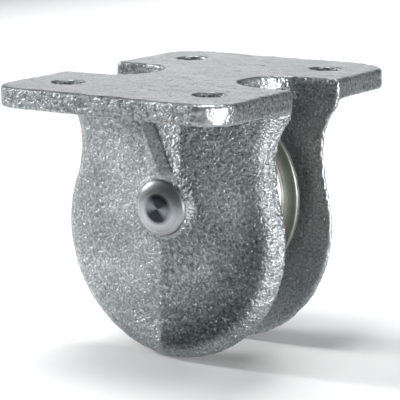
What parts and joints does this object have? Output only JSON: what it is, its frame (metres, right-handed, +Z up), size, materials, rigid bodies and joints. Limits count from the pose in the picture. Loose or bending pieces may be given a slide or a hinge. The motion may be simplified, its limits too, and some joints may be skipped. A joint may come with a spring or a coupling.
{
  "type": "gate wheel",
  "caption": "Enclosed gate wheel: a cast fork housing with a bolt-on top plate holds a grooved wheel on a riveted axle with ball bearings.",
  "frame": {"origin": "centre of the plate's top face, which bolts up against the underside of the gate", "axes": "+Z up out of the plate's top face, +X along the rail that the wheel rolls on, +Y along the axle towards the rear cheek"},
  "size_m": [0.108, 0.14, 0.1135],
  "materials": {
    "cast_housing": "sand cast iron, zinc plated, coarse grain",
    "axle_steel": "zinc plated steel, heads bright and ringed from orbital riveting",
    "wheel_steel": "turned steel, zinc plated, fine rings",
    "spacer_steel": "turned and zinc plated",
    "race_steel": "hardened, ground bearing steel",
    "pressed_steel": "bright pressed sheet steel",
    "spring_steel": "phosphated and oiled spring steel"
  },
  "bodies": {
    "housing": {"top_plate": "cast_housing", "front_cheek": "cast_housing", "rear_cheek": "cast_housing", "axle": "axle_steel", "front_distance_ring": "spacer_steel", "rear_distance_ring": "spacer_steel", "centre_sleeve": "spacer_steel", "front_inner_race": "race_steel", "rear_inner_race": "race_steel"},
    "wheel": {"wheel": "wheel_steel", "front_retaining_ring": "spring_steel", "rear_retaining_ring": "spring_steel", "front_outer_race": "race_steel", "front_outside_shield": "pressed_steel", "front_inside_shield": "pressed_steel", "rear_outer_race": "race_steel", "rear_outside_shield": "pressed_steel", "rear_inside_shield": "pressed_steel"},
    "front_cage": {"front_outside_cage": "pressed_steel", "front_inside_cage": "pressed_steel", "front_balls": "race_steel"},
    "rear_cage": {"rear_outside_cage": "pressed_steel", "rear_inside_cage": "pressed_steel", "rear_balls": "race_steel"}
  },
  "joints": [
    {"name": "wheel_spin", "type": "hinge", "parent": "housing", "child": "wheel", "pos_m": [0, 0, -0.05], "axis": [0, 1, 0], "continuous": true},
    {"name": "front_cage_spin", "type": "hinge", "parent": "housing", "child": "front_cage", "pos_m": [0, -0.006, -0.05], "axis": [0, 1, 0], "continuous": true},
    {"name": "rear_cage_spin", "type": "hinge", "parent": "housing", "child": "rear_cage", "pos_m": [0, 0.006, -0.05], "axis": [0, 1, 0], "continuous": true}
  ],
  "couplings": [
    {"joint": "front_cage_spin", "follows": "wheel_spin", "ratio": 0.6013},
    {"joint": "rear_cage_spin", "follows": "wheel_spin", "ratio": 0.6013}
  ]
}
